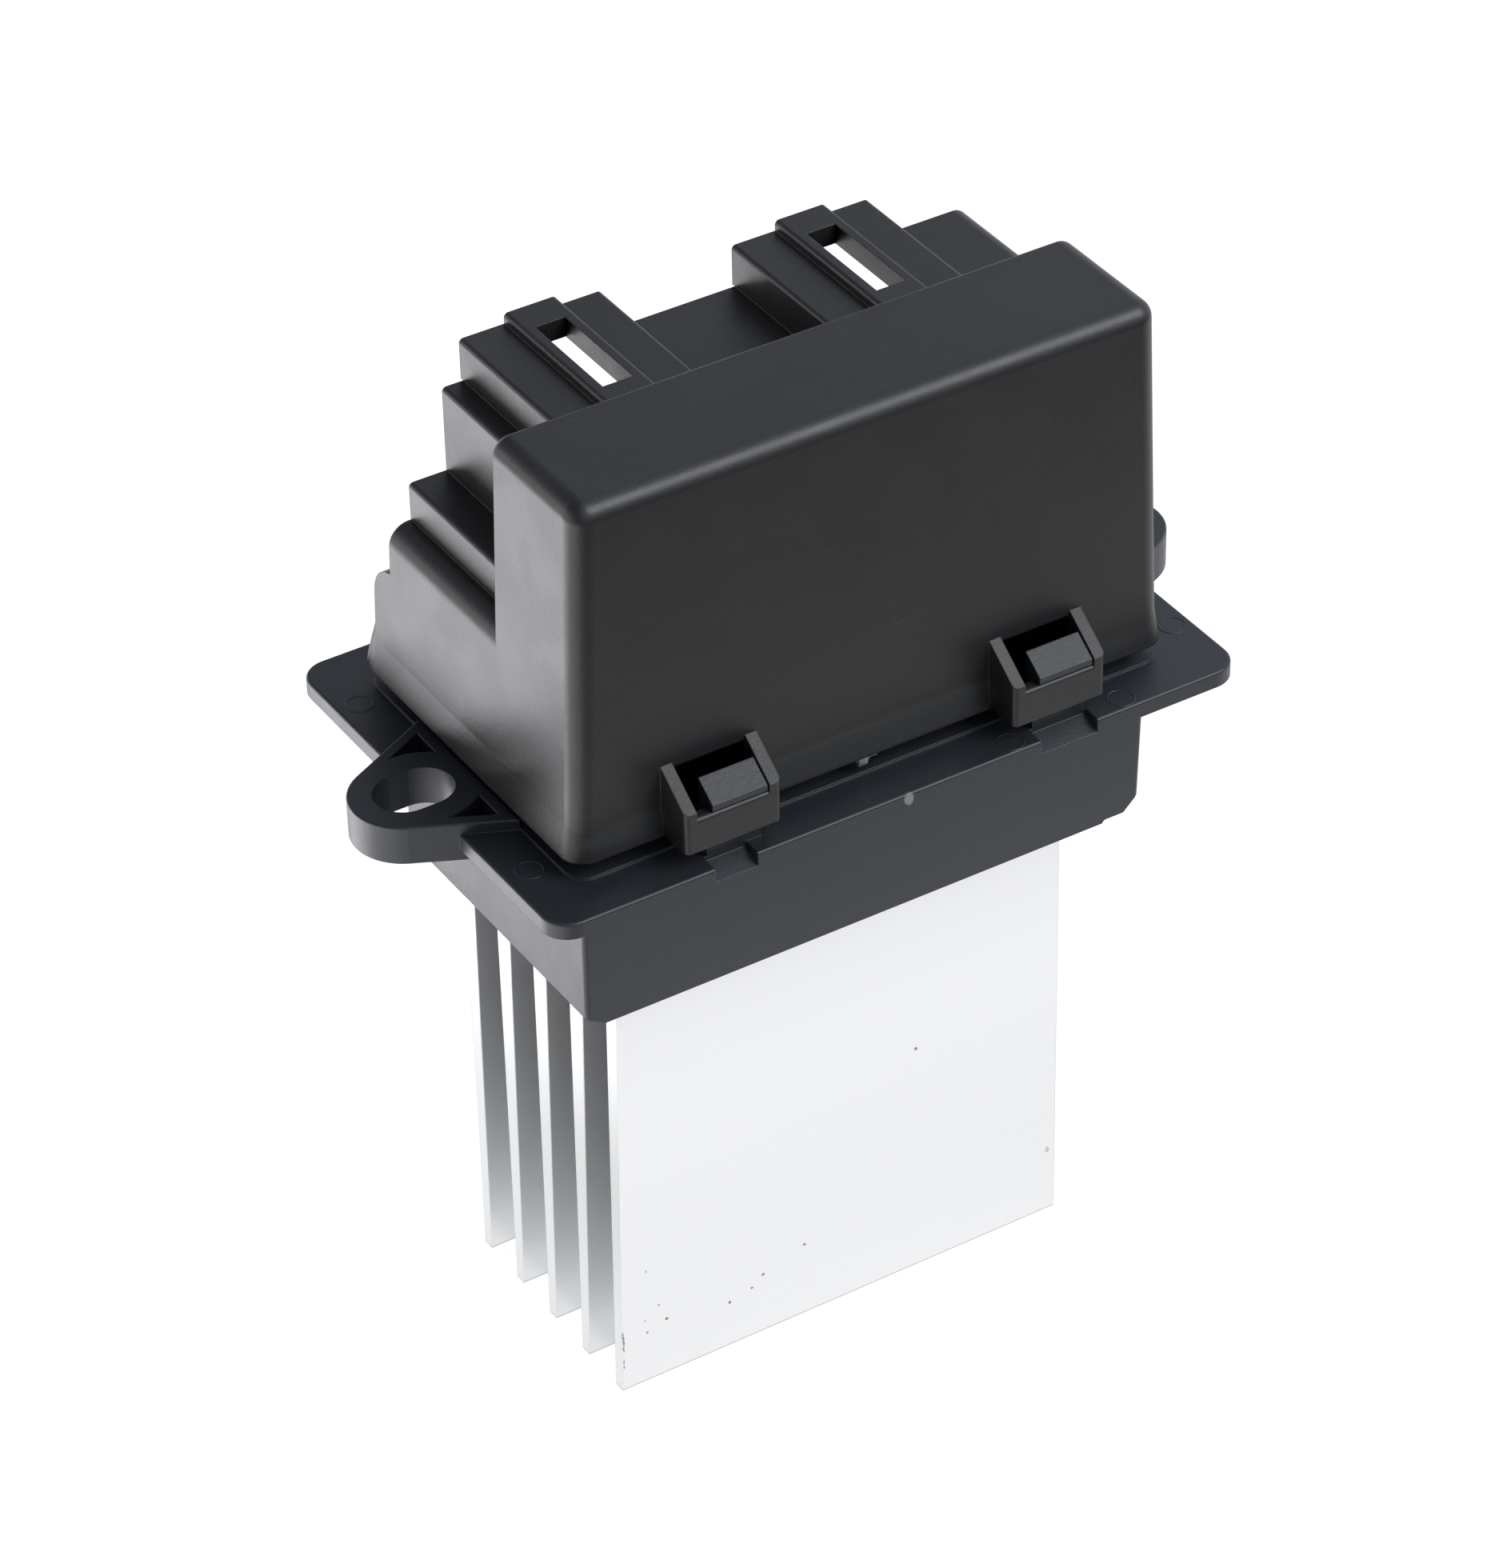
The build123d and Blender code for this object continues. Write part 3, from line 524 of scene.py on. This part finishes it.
def with_sawn_ends(tree, place, base, shine, sawn):
    """Gives the faces across X a sawn colour and roughness, and all faces the line at the foot."""
    facing = split(tree, add(tree, "ShaderNodeNewGeometry").outputs["Normal"])
    across = ramp(tree, calc(tree, "ABSOLUTE", facing["X"]), *ACROSS_RANGE)
    shine = ramp(tree, across, 0.0, 1.0, shine, sawn, smooth=False)
    height = split(tree, place)["Z"]
    cut = blend_colour(
        tree, ramp(tree, height, 0.0, SAWN_PALER_BELOW * MM), SAWN_AT_FOOT, SAWN_ALUMINIUM)
    base = blend_colour(tree, across, base, cut)
    line = ramp(tree, height, *FOOT_LINE_RANGE, FOOT_LINE_STRENGTH, 0.0)
    return blend_colour(tree, line, base, FOOT_GREY), shine


def bare_metal(name, colour, rough, depth=0.01, spots=(), sawn=None, marked=0.25):
    """Bare metal with the lines of its making, soft edges and its own pits.

    The depth of its lines is in millimetres. Faces across X were sawn if a roughness is
    given for them.
    """
    material, tree, shader, place = new_finish(name)
    lines = use(tree, drawn_lines, Vector=place, Spacing=DRAWN_SPACING)
    edges = use(
        tree, rubbed_highlit_edges, Vector=place, Radius=METAL_EDGE_RADIUS * MM, Broken=METAL_EDGES_BROKEN)
    marks = use(tree, fine_scratches, Vector=place, Amount=METAL_SCRATCHES)
    dull = toned(colour, METAL_DULLED)
    base = paint(tree, colour, lines["Streaks"], marked, dull)
    base = paint(tree, base, marks["Mask"], marked, dull)
    base = with_spots(tree, place, base, spots, METAL_SPOTS_RAGGED)
    swing = STREAK_GLOSS * marked
    shine = ramp(tree, lines["Streaks"], *STREAK_RANGE, rough - swing, rough + swing)
    if sawn is not None:
        base, shine = with_sawn_ends(tree, place, base, shine, sawn)
    feed(tree, base, shader.inputs["Base Color"])
    feed(tree, shine, shader.inputs["Roughness"])
    surface = dent(tree, lines["Height"], depth, edges["Normal"])
    feed(tree, surface, shader.inputs["Normal"])
    shader.inputs["Metallic"].default_value = 1.0
    return material


black_cover = moulded_plastic(
    "Cover plastic", (0.009, 0.0091, 0.0093, 1), (0.05, 0.05, 0.05, 1), rough=0.42, edge=0.2,
    spots=cover_spots, shade_areas=catch_opening_shade + shaded_walls)
black_frame = moulded_plastic(
    "Frame plastic", (0.014, 0.0165, 0.021, 1), (0.06, 0.063, 0.07, 1), rough=0.42,
    spots=frame_spots)
pale_burrs = moulded_plastic(
    "Burr plastic", (0.17, 0.175, 0.168, 1), (0.22, 0.22, 0.22, 1), rough=0.6)
strip_plastic = moulded_plastic(
    "Strip plastic", (0.62, 0.59, 0.50, 1), (0.8, 0.78, 0.7, 1),
    rough=0.38, grain=0.2, edge=0.2, dust=0.05)
board_green = moulded_plastic(
    "Board mask", (0.012, 0.10, 0.035, 1), (0.3, 0.34, 0.2, 1), rough=0.3, grain=0.12, edge=0.15)
compound = moulded_plastic(
    "Moulding compound", (0.016, 0.016, 0.017, 1), (0.1, 0.1, 0.1, 1),
    rough=0.5, grain=0.1, edge=0.2, dust=0.05)
pad_grey = moulded_plastic(
    "Silicone pad", (0.45, 0.47, 0.49, 1), (0.6, 0.6, 0.6, 1),
    rough=0.7, grain=0.1, edge=0.1, dust=0.05)
sleeve = moulded_plastic(
    "Capacitor sleeve", (0.02, 0.024, 0.045, 1), (0.2, 0.2, 0.25, 1),
    rough=0.25, grain=0.3, edge=0.2)
white_ceramic = moulded_plastic(
    "Fuse ceramic", (0.76, 0.74, 0.66, 1), (0.9, 0.88, 0.8, 1),
    rough=0.45, grain=0.12, edge=0.2, dust=0.05)
tan_ceramic = moulded_plastic(
    "Capacitor ceramic", (0.36, 0.25, 0.15, 1), (0.5, 0.4, 0.3, 1),
    rough=0.4, grain=0.1, edge=0.1)
dark_ceramic = moulded_plastic(
    "Resistor film", (0.02, 0.02, 0.022, 1), (0.2, 0.2, 0.2, 1),
    rough=0.3, grain=0.1, edge=0.1)
aluminium = bare_metal(
    "Extruded aluminium", (0.787, 0.788, 0.791, 1), rough=0.36, depth=0.002,
    spots=fin_spots, sawn=0.5, marked=0.12)
zinc = bare_metal("Zinc plate", (0.70, 0.70, 0.66, 1), rough=0.3)
spring_steel = bare_metal("Spring steel", (0.50, 0.50, 0.51, 1), rough=0.32)
tin = bare_metal("Tinned brass", (0.80, 0.78, 0.70, 1), rough=0.26)
shunt_alloy = bare_metal("Shunt alloy", (0.66, 0.56, 0.47, 1), rough=0.33)

# The finish of each node, by how its name starts
finishes = {
    "cover": black_cover,
    "base_frame": black_frame,
    "heat_sink": aluminium,
    "heat_sink_screws": zinc,
    "circuit_board": board_green,
    "control_chip": compound,
    "current_shunt": shunt_alloy,
    "thermal_fuse": white_ceramic,
    "electrolytic_capacitor": sleeve,
    "power_transistor": compound,
    "insulating_pad": pad_grey,
    "transistor_clip": spring_steel,
    "motor_blade": tin,
    "supply_blade": tin,
    "signal_blade": tin,
    "contact_strip": strip_plastic,
    "ceramic_capacitor": tan_ceramic,
    "chip_resistor": dark_ceramic,
}
for name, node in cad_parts.items():
    kind = max((key for key in finishes if name.startswith(key)), key=len)
    node.data.materials.clear()
    node.data.materials.append(finishes[kind])


# Small repeated forms: rings that the mould's pins leave, and burrs on the cover's lower edge

STEPS_ROUND_RING, STEPS_ROUND_PROFILE = 40, 8
RING_RADIUS, RING_THICKNESS, RING_HEIGHT = 1.45, 0.11, -0.05
RING_PLACES = [(80.8, 9.6), (68.8, 1.8), (55.0, 1.75), (2.9, 10.2), (2.6, 44.4), (80.6, 44.0)]

# The burrs: x, z, and their reach along x, y and z
FLAKE_SUBDIVISIONS = 4
LUMP_SCALE, LUMP_AMOUNT, LUMP_SEED = 1.4, 0.9, 3.0
BURR_FRONT = 5.35
BURRS = [
    (39.3, 2.0, (0.8, 0.4, 0.9)), (40.4, 2.35, (0.95, 0.3, 0.5)),
    (41.6, 2.5, (1.05, 0.26, 0.36)), (42.7, 2.55, (0.85, 0.24, 0.27)),
    (44.35, 2.35, (0.34, 0.24, 0.34)), (34.0, 2.35, (0.9, 0.2, 0.2)),
    (48.5, 2.32, (0.8, 0.2, 0.2)), (46.6, 2.3, (0.5, 0.16, 0.15)),
]


def repeating_tree(name, sizes):
    """An empty Geometry Nodes tree with a geometry input, named sizes and a geometry output."""
    tree = bpy.data.node_groups.new(name, "GeometryNodeTree")
    tree.interface.new_socket("Geometry", in_out="INPUT", socket_type="NodeSocketGeometry")
    for label, value in sizes:
        socket = tree.interface.new_socket(label, in_out="INPUT", socket_type=VALUE)
        socket.default_value = value
    tree.interface.new_socket("Geometry", in_out="OUTPUT", socket_type="NodeSocketGeometry")
    return tree, add(tree, "NodeGroupInput").outputs, add(tree, "NodeGroupOutput").inputs


def place_on_points(tree, start, end, form, finish, scale=None):
    """Puts the form on each point, and gives the whole its finish."""
    copies = add(tree, "GeometryNodeInstanceOnPoints")
    feed(tree, start["Geometry"], copies.inputs["Points"])
    feed(tree, form, copies.inputs["Instance"])
    if scale is not None:
        feed(tree, scale, copies.inputs["Scale"])
    whole = add(tree, "GeometryNodeRealizeInstances")
    feed(tree, copies.outputs["Instances"], whole.inputs["Geometry"])
    dressed = add(tree, "GeometryNodeSetMaterial")
    feed(tree, whole.outputs["Geometry"], dressed.inputs["Geometry"])
    dressed.inputs["Material"].default_value = finish
    feed(tree, dressed.outputs["Geometry"], end["Geometry"])


def circle(tree, radius, steps):
    """A closed round curve."""
    node = add(tree, "GeometryNodeCurvePrimitiveCircle")
    node.inputs["Resolution"].default_value = steps
    feed(tree, radius, node.inputs["Radius"])
    return node.outputs["Curve"]


def ring_tree(finish):
    """A thin raised ring on each point."""
    tree, start, end = repeating_tree(
        "Pin rings", [("Radius", 1.0 * MM), ("Thickness", 0.1 * MM)])
    ring = add(tree, "GeometryNodeCurveToMesh")
    line = circle(tree, start["Radius"], STEPS_ROUND_RING)
    profile = circle(tree, start["Thickness"], STEPS_ROUND_PROFILE)
    feed(tree, line, ring.inputs["Curve"])
    feed(tree, profile, ring.inputs["Profile Curve"])
    place_on_points(tree, start, end, ring.outputs["Mesh"], finish)
    return tree


def burr_tree(finish):
    """A lumpy flake on each point, of the size that the point carries."""
    tree, start, end = repeating_tree("Burrs", [("Lumps", 0.5), ("Seed", 0.0)])
    flake = add(tree, "GeometryNodeMeshIcoSphere")
    flake.inputs["Radius"].default_value = 1.0
    flake.inputs["Subdivisions"].default_value = FLAKE_SUBDIVISIONS
    lumps = add(tree, "ShaderNodeTexNoise", noise_dimensions="4D")
    feed(tree, start["Seed"], lumps.inputs["W"])
    lumps.inputs["Scale"].default_value = LUMP_SCALE
    push = calc(tree, "SUBTRACT", lumps.outputs["Fac"], 0.5)
    push = calc(tree, "MULTIPLY", push, start["Lumps"])
    place = add(tree, "GeometryNodeInputPosition").outputs["Position"]
    moved = add(tree, "GeometryNodeSetPosition")
    feed(tree, flake.outputs["Mesh"], moved.inputs["Geometry"])
    feed(tree, scaled(tree, place, push), moved.inputs["Offset"])
    size = add(tree, "GeometryNodeInputNamedAttribute", data_type="FLOAT_VECTOR")
    size.inputs["Name"].default_value = "size"
    place_on_points(
        tree, start, end, moved.outputs["Geometry"], finish, size.outputs["Attribute"])
    return tree


def grow(name, tree, places, values, sizes=()):
    """Runs a tree on a set of places in millimetres and keeps the result as a plain piece."""
    mesh = bpy.data.meshes.new(name + "_places")
    mesh.from_pydata([[part * MM for part in place] for place in places], [], [])
    if sizes:
        attribute = mesh.attributes.new("size", "FLOAT_VECTOR", "POINT")
        for entry, size in zip(attribute.data, sizes):
            entry.vector = [part * MM for part in size]
    carrier = bpy.data.objects.new(name + "_places", mesh)
    bpy.context.scene.collection.objects.link(carrier)
    modifier = carrier.modifiers.new("tree", "NODES")
    modifier.node_group = tree
    for item in tree.interface.items_tree:
        if item.in_out == "INPUT" and item.name in values:
            modifier[item.identifier] = values[item.name]
    bpy.context.view_layer.update()
    ready = carrier.evaluated_get(bpy.context.evaluated_depsgraph_get())
    result = bpy.data.meshes.new_from_object(ready)
    result.name = name
    carrier.modifiers.clear()
    bpy.data.objects.remove(carrier)
    bpy.data.meshes.remove(mesh)
    piece = bpy.data.objects.new(name, result)
    bpy.context.scene.collection.objects.link(piece)
    for face in result.polygons:
        face.use_smooth = True
    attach(piece, "root")


grow(
    "pin_rings", ring_tree(black_frame), [at_flange(x, y, RING_HEIGHT) for x, y in RING_PLACES],
    {"Radius": RING_RADIUS * MM, "Thickness": RING_THICKNESS * MM})
grow(
    "cover_burrs", burr_tree(pale_burrs), [at_flange(x, BURR_FRONT, z) for x, z, size in BURRS],
    {"Lumps": LUMP_AMOUNT, "Seed": LUMP_SEED}, [size for x, z, size in BURRS])


# The floor: its levels are brightnesses, and places on it are in metres

FLOOR_REACH = 4.0
FLOOR_CORNERS = ((-1, -1), (1, -1), (1, 1), (-1, 1))
FLOOR_BASE = (0.12, 0.12, 0.12, 1)
FLOOR_ROUGHNESS = 0.9
FLOOR_BRIGHT = 5.0
FLOOR_EVEN = 0.96
# Painted light and shade that only the object's reflections see: a brighter band in front, a dim
# band beyond it, painted glows at the left and back left, and painted shade under the fins
FLOOR_FRONT, BRIGHTER_IN_FRONT = 1.24, (-0.045, -0.085)
DIM_IN_FRONT = (-0.098, -0.114)
FLOOR_LEFT, GLOW_AT_LEFT = 2.5, ((-0.24, -0.12), (-0.105, 0.02), 0.02)
GLOW_TINT, GLOW_AT_BACK_LEFT = (1.0, 0.985, 1.03, 1), ((-0.20, 0.03), (-0.076, 0.19), 0.010)
FLOOR_SHADED = (0.78, 0.815, 0.845)
SHADE_UNDER_FINS = ((-0.031, -0.021), (0.016, 0.006), 0.0025)


def soft_rectangle(tree, place, low, high, fade):
    """A rectangle on the floor with soft edges, as a mask."""
    parts = split(tree, place)
    mask = 1.0
    for axis, start, end in zip("XY", low, high):
        beyond_start = ramp(tree, parts[axis], start - fade, start)
        before_end = ramp(tree, parts[axis], end, end + fade, 1.0, 0.0)
        mask = calc(tree, "MULTIPLY", calc(tree, "MULTIPLY", mask, beyond_start), before_end)
    return mask


def floor_grey(level):
    """A floor brightness as a share of its brightest glow."""
    return (level / FLOOR_BRIGHT,) * 3 + (1,)


def make_floor():
    """A wide plain pale floor, lit from below as on a light table.

    Seen directly it is even. What the object mirrors of it carries painted light and shade: a
    painted glow at the left and back left that stands for the lamps, a brighter band in front, a
    dim band further in front, and painted shade under the heat sink.
    """
    mesh = bpy.data.meshes.new("floor")
    corners = [(x * FLOOR_REACH, y * FLOOR_REACH, 0) for x, y in FLOOR_CORNERS]
    mesh.from_pydata(corners, [], [(0, 1, 2, 3)])
    floor = bpy.data.objects.new("floor", mesh)
    bpy.context.scene.collection.objects.link(floor)
    material, tree, shader, place = new_finish("Floor glass")
    depth = split(tree, place)["Y"]
    even = floor_grey(FLOOR_EVEN)
    front = ramp(tree, depth, *BRIGHTER_IN_FRONT)
    shine = blend_colour(tree, front, even, floor_grey(FLOOR_FRONT))
    shine = blend_colour(tree, ramp(tree, depth, *DIM_IN_FRONT), shine, floor_grey(0.0))
    left = soft_rectangle(tree, place, *GLOW_AT_LEFT)
    shine = blend_colour(tree, left, shine, floor_grey(FLOOR_LEFT))
    back_left = soft_rectangle(tree, place, *GLOW_AT_BACK_LEFT)
    shine = blend_colour(tree, back_left, shine, GLOW_TINT)
    under_fins = soft_rectangle(tree, place, *SHADE_UNDER_FINS)
    shine = blend_colour(tree, under_fins, shine, toned(FLOOR_SHADED, 1 / FLOOR_BRIGHT))
    # The camera sees only the even glow; the painted light and shade show only in what the object
    # mirrors
    seen = add(tree, "ShaderNodeLightPath").outputs["Is Camera Ray"]
    feed(tree, blend_colour(tree, seen, shine, even), shader.inputs["Emission Color"])
    shader.inputs["Emission Strength"].default_value = FLOOR_BRIGHT
    shader.inputs["Base Color"].default_value = FLOOR_BASE
    shader.inputs["Roughness"].default_value = FLOOR_ROUGHNESS
    mesh.materials.append(material)


# The room is dim at the left and brighter at the right, with a bright wall at the back left

ROOM_LEFT = (0.19, 0.20, 0.23, 1)
ROOM_RIGHT = (0.80, 0.85, 0.95, 1)
RIGHTWARD, SIDE_RANGE = (0.854, -0.521, 0.0), (-0.25, 0.25)
ROOM_WALL = (2.6, 2.6, 2.7, 1)
WALLWARD, WALL_RANGE = (-0.72, 0.69, 0.0), (0.3, 0.8)
WALL_TOP_RANGE = (0.10, 0.34)

# The softbox, in metres and watts
SOFTBOX_PLACE, SOFTBOX_AIM = (0.5, -0.7, 0.83), (0, 0, 0.06)
SOFTBOX_SIZE, SOFTBOX_POWER = (0.6, 0.6), 8.0


def make_room():
    """The soft light that comes from all round."""
    world = bpy.data.worlds.new("Studio")
    world.use_nodes = True
    tree = world.node_tree
    direction = add(tree, "ShaderNodeTexCoord").outputs["Generated"]
    rightward = vector_calc(tree, "DOT_PRODUCT", direction, RIGHTWARD)
    room = blend_colour(tree, ramp(tree, rightward, *SIDE_RANGE), ROOM_LEFT, ROOM_RIGHT)
    low = ramp(tree, split(tree, direction)["Z"], *WALL_TOP_RANGE, 1.0, 0.0)
    wallward = vector_calc(tree, "DOT_PRODUCT", direction, WALLWARD)
    room = paint(tree, room, low, ramp(tree, wallward, *WALL_RANGE), ROOM_WALL)
    feed(tree, room, tree.nodes["Background"].inputs["Color"])
    bpy.context.scene.world = world


def make_softbox():
    """A square soft light high at the front right, which the camera doesn't see."""
    light = bpy.data.lights.new("front_right", "AREA")
    light.shape = "RECTANGLE"
    light.size, light.size_y = SOFTBOX_SIZE
    light.energy = SOFTBOX_POWER
    lamp = bpy.data.objects.new("front_right", light)
    lamp.location = SOFTBOX_PLACE
    lamp.rotation_mode = "QUATERNION"
    beam = Vector(SOFTBOX_AIM) - Vector(SOFTBOX_PLACE)
    lamp.rotation_quaternion = beam.to_track_quat("-Z", "Y")
    lamp.visible_camera = False
    bpy.context.scene.collection.objects.link(lamp)


# The camera, in degrees and millimetres, but with its clipping in metres. It aims a little to
# the left of a point in the middle of the base frame, and below it.

CAMERA_AZIMUTH, CAMERA_ELEVATION, CAMERA_ROLL = -31.39, 36.457, -1.245
CAMERA_DISTANCE = 633.8
CAMERA_LENS, CAMERA_SENSOR = 139.68, 36.0
CAMERA_CLIP = (0.01, 20.0)
FRAME_MIDDLE = (3.5, -6.75, 60.7)
AIM_TO_LEFT, AIM_BELOW = 8.514, 5.885


def make_camera():
    """The photograph's camera: above, to the front and left, slightly rolled."""
    azimuth, elevation, roll = (
        math.radians(angle) for angle in (CAMERA_AZIMUTH, CAMERA_ELEVATION, CAMERA_ROLL))
    level = math.cos(elevation)
    back = Vector((math.sin(azimuth) * level, -math.cos(azimuth) * level, math.sin(elevation)))
    right = Vector((0, 0, 1)).cross(back).normalized()
    up = back.cross(right)
    target = Vector(FRAME_MIDDLE) - right * AIM_TO_LEFT - up * AIM_BELOW
    rolled_right = right * math.cos(roll) + up * math.sin(roll)
    rolled_up = up * math.cos(roll) - right * math.sin(roll)
    data = bpy.data.cameras.new("camera")
    data.lens, data.sensor_width = CAMERA_LENS, CAMERA_SENSOR
    data.clip_start, data.clip_end = CAMERA_CLIP
    camera = bpy.data.objects.new("camera", data)
    turn = Matrix((rolled_right, rolled_up, back)).transposed().to_4x4()
    camera.matrix_world = Matrix.Translation((target + back * CAMERA_DISTANCE) * MM) @ turn
    bpy.context.scene.collection.objects.link(camera)
    bpy.context.scene.camera = camera


make_floor()
make_room()
make_softbox()
make_camera()
bpy.context.scene.view_settings.view_transform = "Standard"
